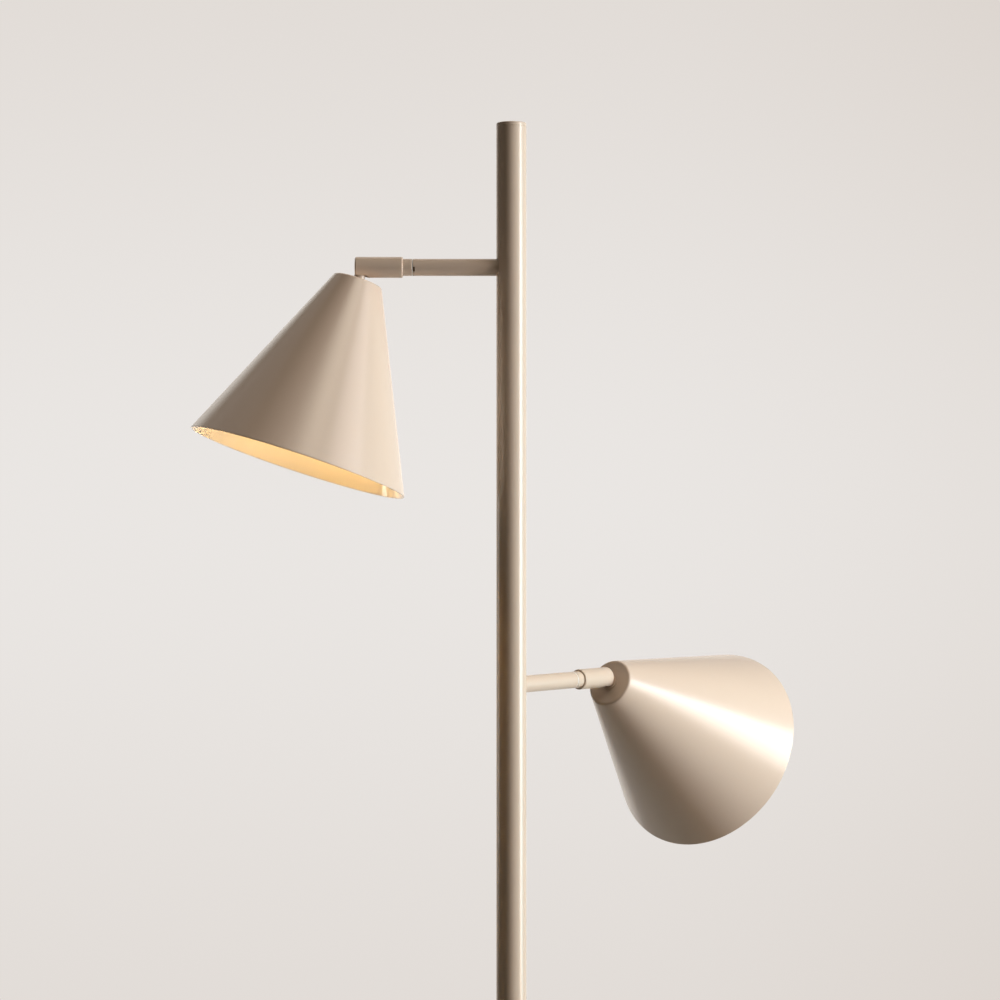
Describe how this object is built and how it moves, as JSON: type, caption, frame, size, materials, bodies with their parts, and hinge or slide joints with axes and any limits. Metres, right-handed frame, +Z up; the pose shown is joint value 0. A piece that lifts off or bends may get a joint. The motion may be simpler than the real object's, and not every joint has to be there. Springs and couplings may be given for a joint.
{
  "type": "floor lamp",
  "caption": "Free-standing pole lamp with a round weighted base and cone shades on short arms, each with a swivel and a tilt joint.",
  "frame": {"origin": "centre of the foot pad's underside, on the pole's axis", "axes": "+Z up along the pole, -X along the upper arm, +Y towards the back, where the supply inlet is"},
  "size_m": [0.4565, 0.3717, 1.5],
  "materials": {
    "pole_coat": "satin",
    "shade_coat": "satin",
    "steel": "satin",
    "brass": "satin",
    "cast_iron": "matte",
    "black_rubber": "matte",
    "lampholder": "matte",
    "lead_sheath": "matte",
    "bulb_glass": "satin"
  },
  "bodies": {
    "stand": {"base_pad": "black_rubber", "base_weight": "cast_iron", "base_cover": "pole_coat", "base_nipple": "steel", "base_washer": "steel", "base_nut": "steel", "supply_inlet": "black_rubber", "terminal_block": "lampholder", "terminal_screws": "brass", "feed_lead": "lead_sheath", "lead_splice": "lampholder", "pole_foot_plug": "steel", "pole_lower": "pole_coat", "pole_insert": "steel", "pole_joint_stud": "steel", "pole_upper": "pole_coat", "pole_cap": "pole_coat", "arm_studs": "steel", "stop_pins": "steel", "upper_anchor": "steel", "upper_arm": "pole_coat", "upper_bush": "brass", "upper_swivel_washer": "steel", "upper_arm_lead": "lead_sheath", "lower_anchor": "steel", "lower_arm": "pole_coat", "lower_bush": "brass", "lower_swivel_washer": "steel", "lower_arm_lead": "lead_sheath"},
    "upper_head": {"upper_swivel_nut": "steel", "upper_knuckle": "pole_coat", "upper_sleeve": "pole_coat", "upper_pivot_screws": "steel", "upper_tilt_washers": "steel", "upper_knuckle_lead": "lead_sheath"},
    "upper_light": {"upper_stem": "steel", "upper_shade": "shade_coat", "upper_shade_nut": "steel", "upper_socket_cap": "lampholder", "upper_socket_body": "lampholder", "upper_socket_shell": "brass", "upper_bulb_cap": "steel", "upper_bulb_glass": "bulb_glass", "upper_shade_lead": "lead_sheath"},
    "lower_head": {"lower_swivel_nut": "steel", "lower_knuckle": "pole_coat", "lower_sleeve": "pole_coat", "lower_pivot_screws": "steel", "lower_tilt_washers": "steel", "lower_knuckle_lead": "lead_sheath"},
    "lower_light": {"lower_stem": "steel", "lower_shade": "shade_coat", "lower_shade_nut": "steel", "lower_socket_cap": "lampholder", "lower_socket_body": "lampholder", "lower_socket_shell": "brass", "lower_bulb_cap": "steel", "lower_bulb_glass": "bulb_glass", "lower_shade_lead": "lead_sheath"}
  },
  "joints": [
    {"name": "upper_swivel", "type": "hinge", "parent": "stand", "child": "upper_head", "pos_m": [-0.0719, 0, 1.3944], "axis": [-1, 0, 0], "range_deg": [-165.4, 154.6]},
    {"name": "upper_tilt", "type": "hinge", "parent": "upper_head", "child": "upper_light", "pos_m": [-0.1087, 0, 1.3944], "axis": [0, -0.9956, 0.0941], "range_deg": [-72.1, 17.9]},
    {"name": "lower_swivel", "type": "hinge", "parent": "stand", "child": "lower_head", "pos_m": [0.04622, 0.05508, 1.089], "axis": [0.6428, 0.766, 0], "range_deg": [-160, 160]},
    {"name": "lower_tilt", "type": "hinge", "parent": "lower_head", "child": "lower_light", "pos_m": [0.06987, 0.08327, 1.089], "axis": [-0.766, 0.6428, 0], "range_deg": [-25.1, 64.9]}
  ]
}
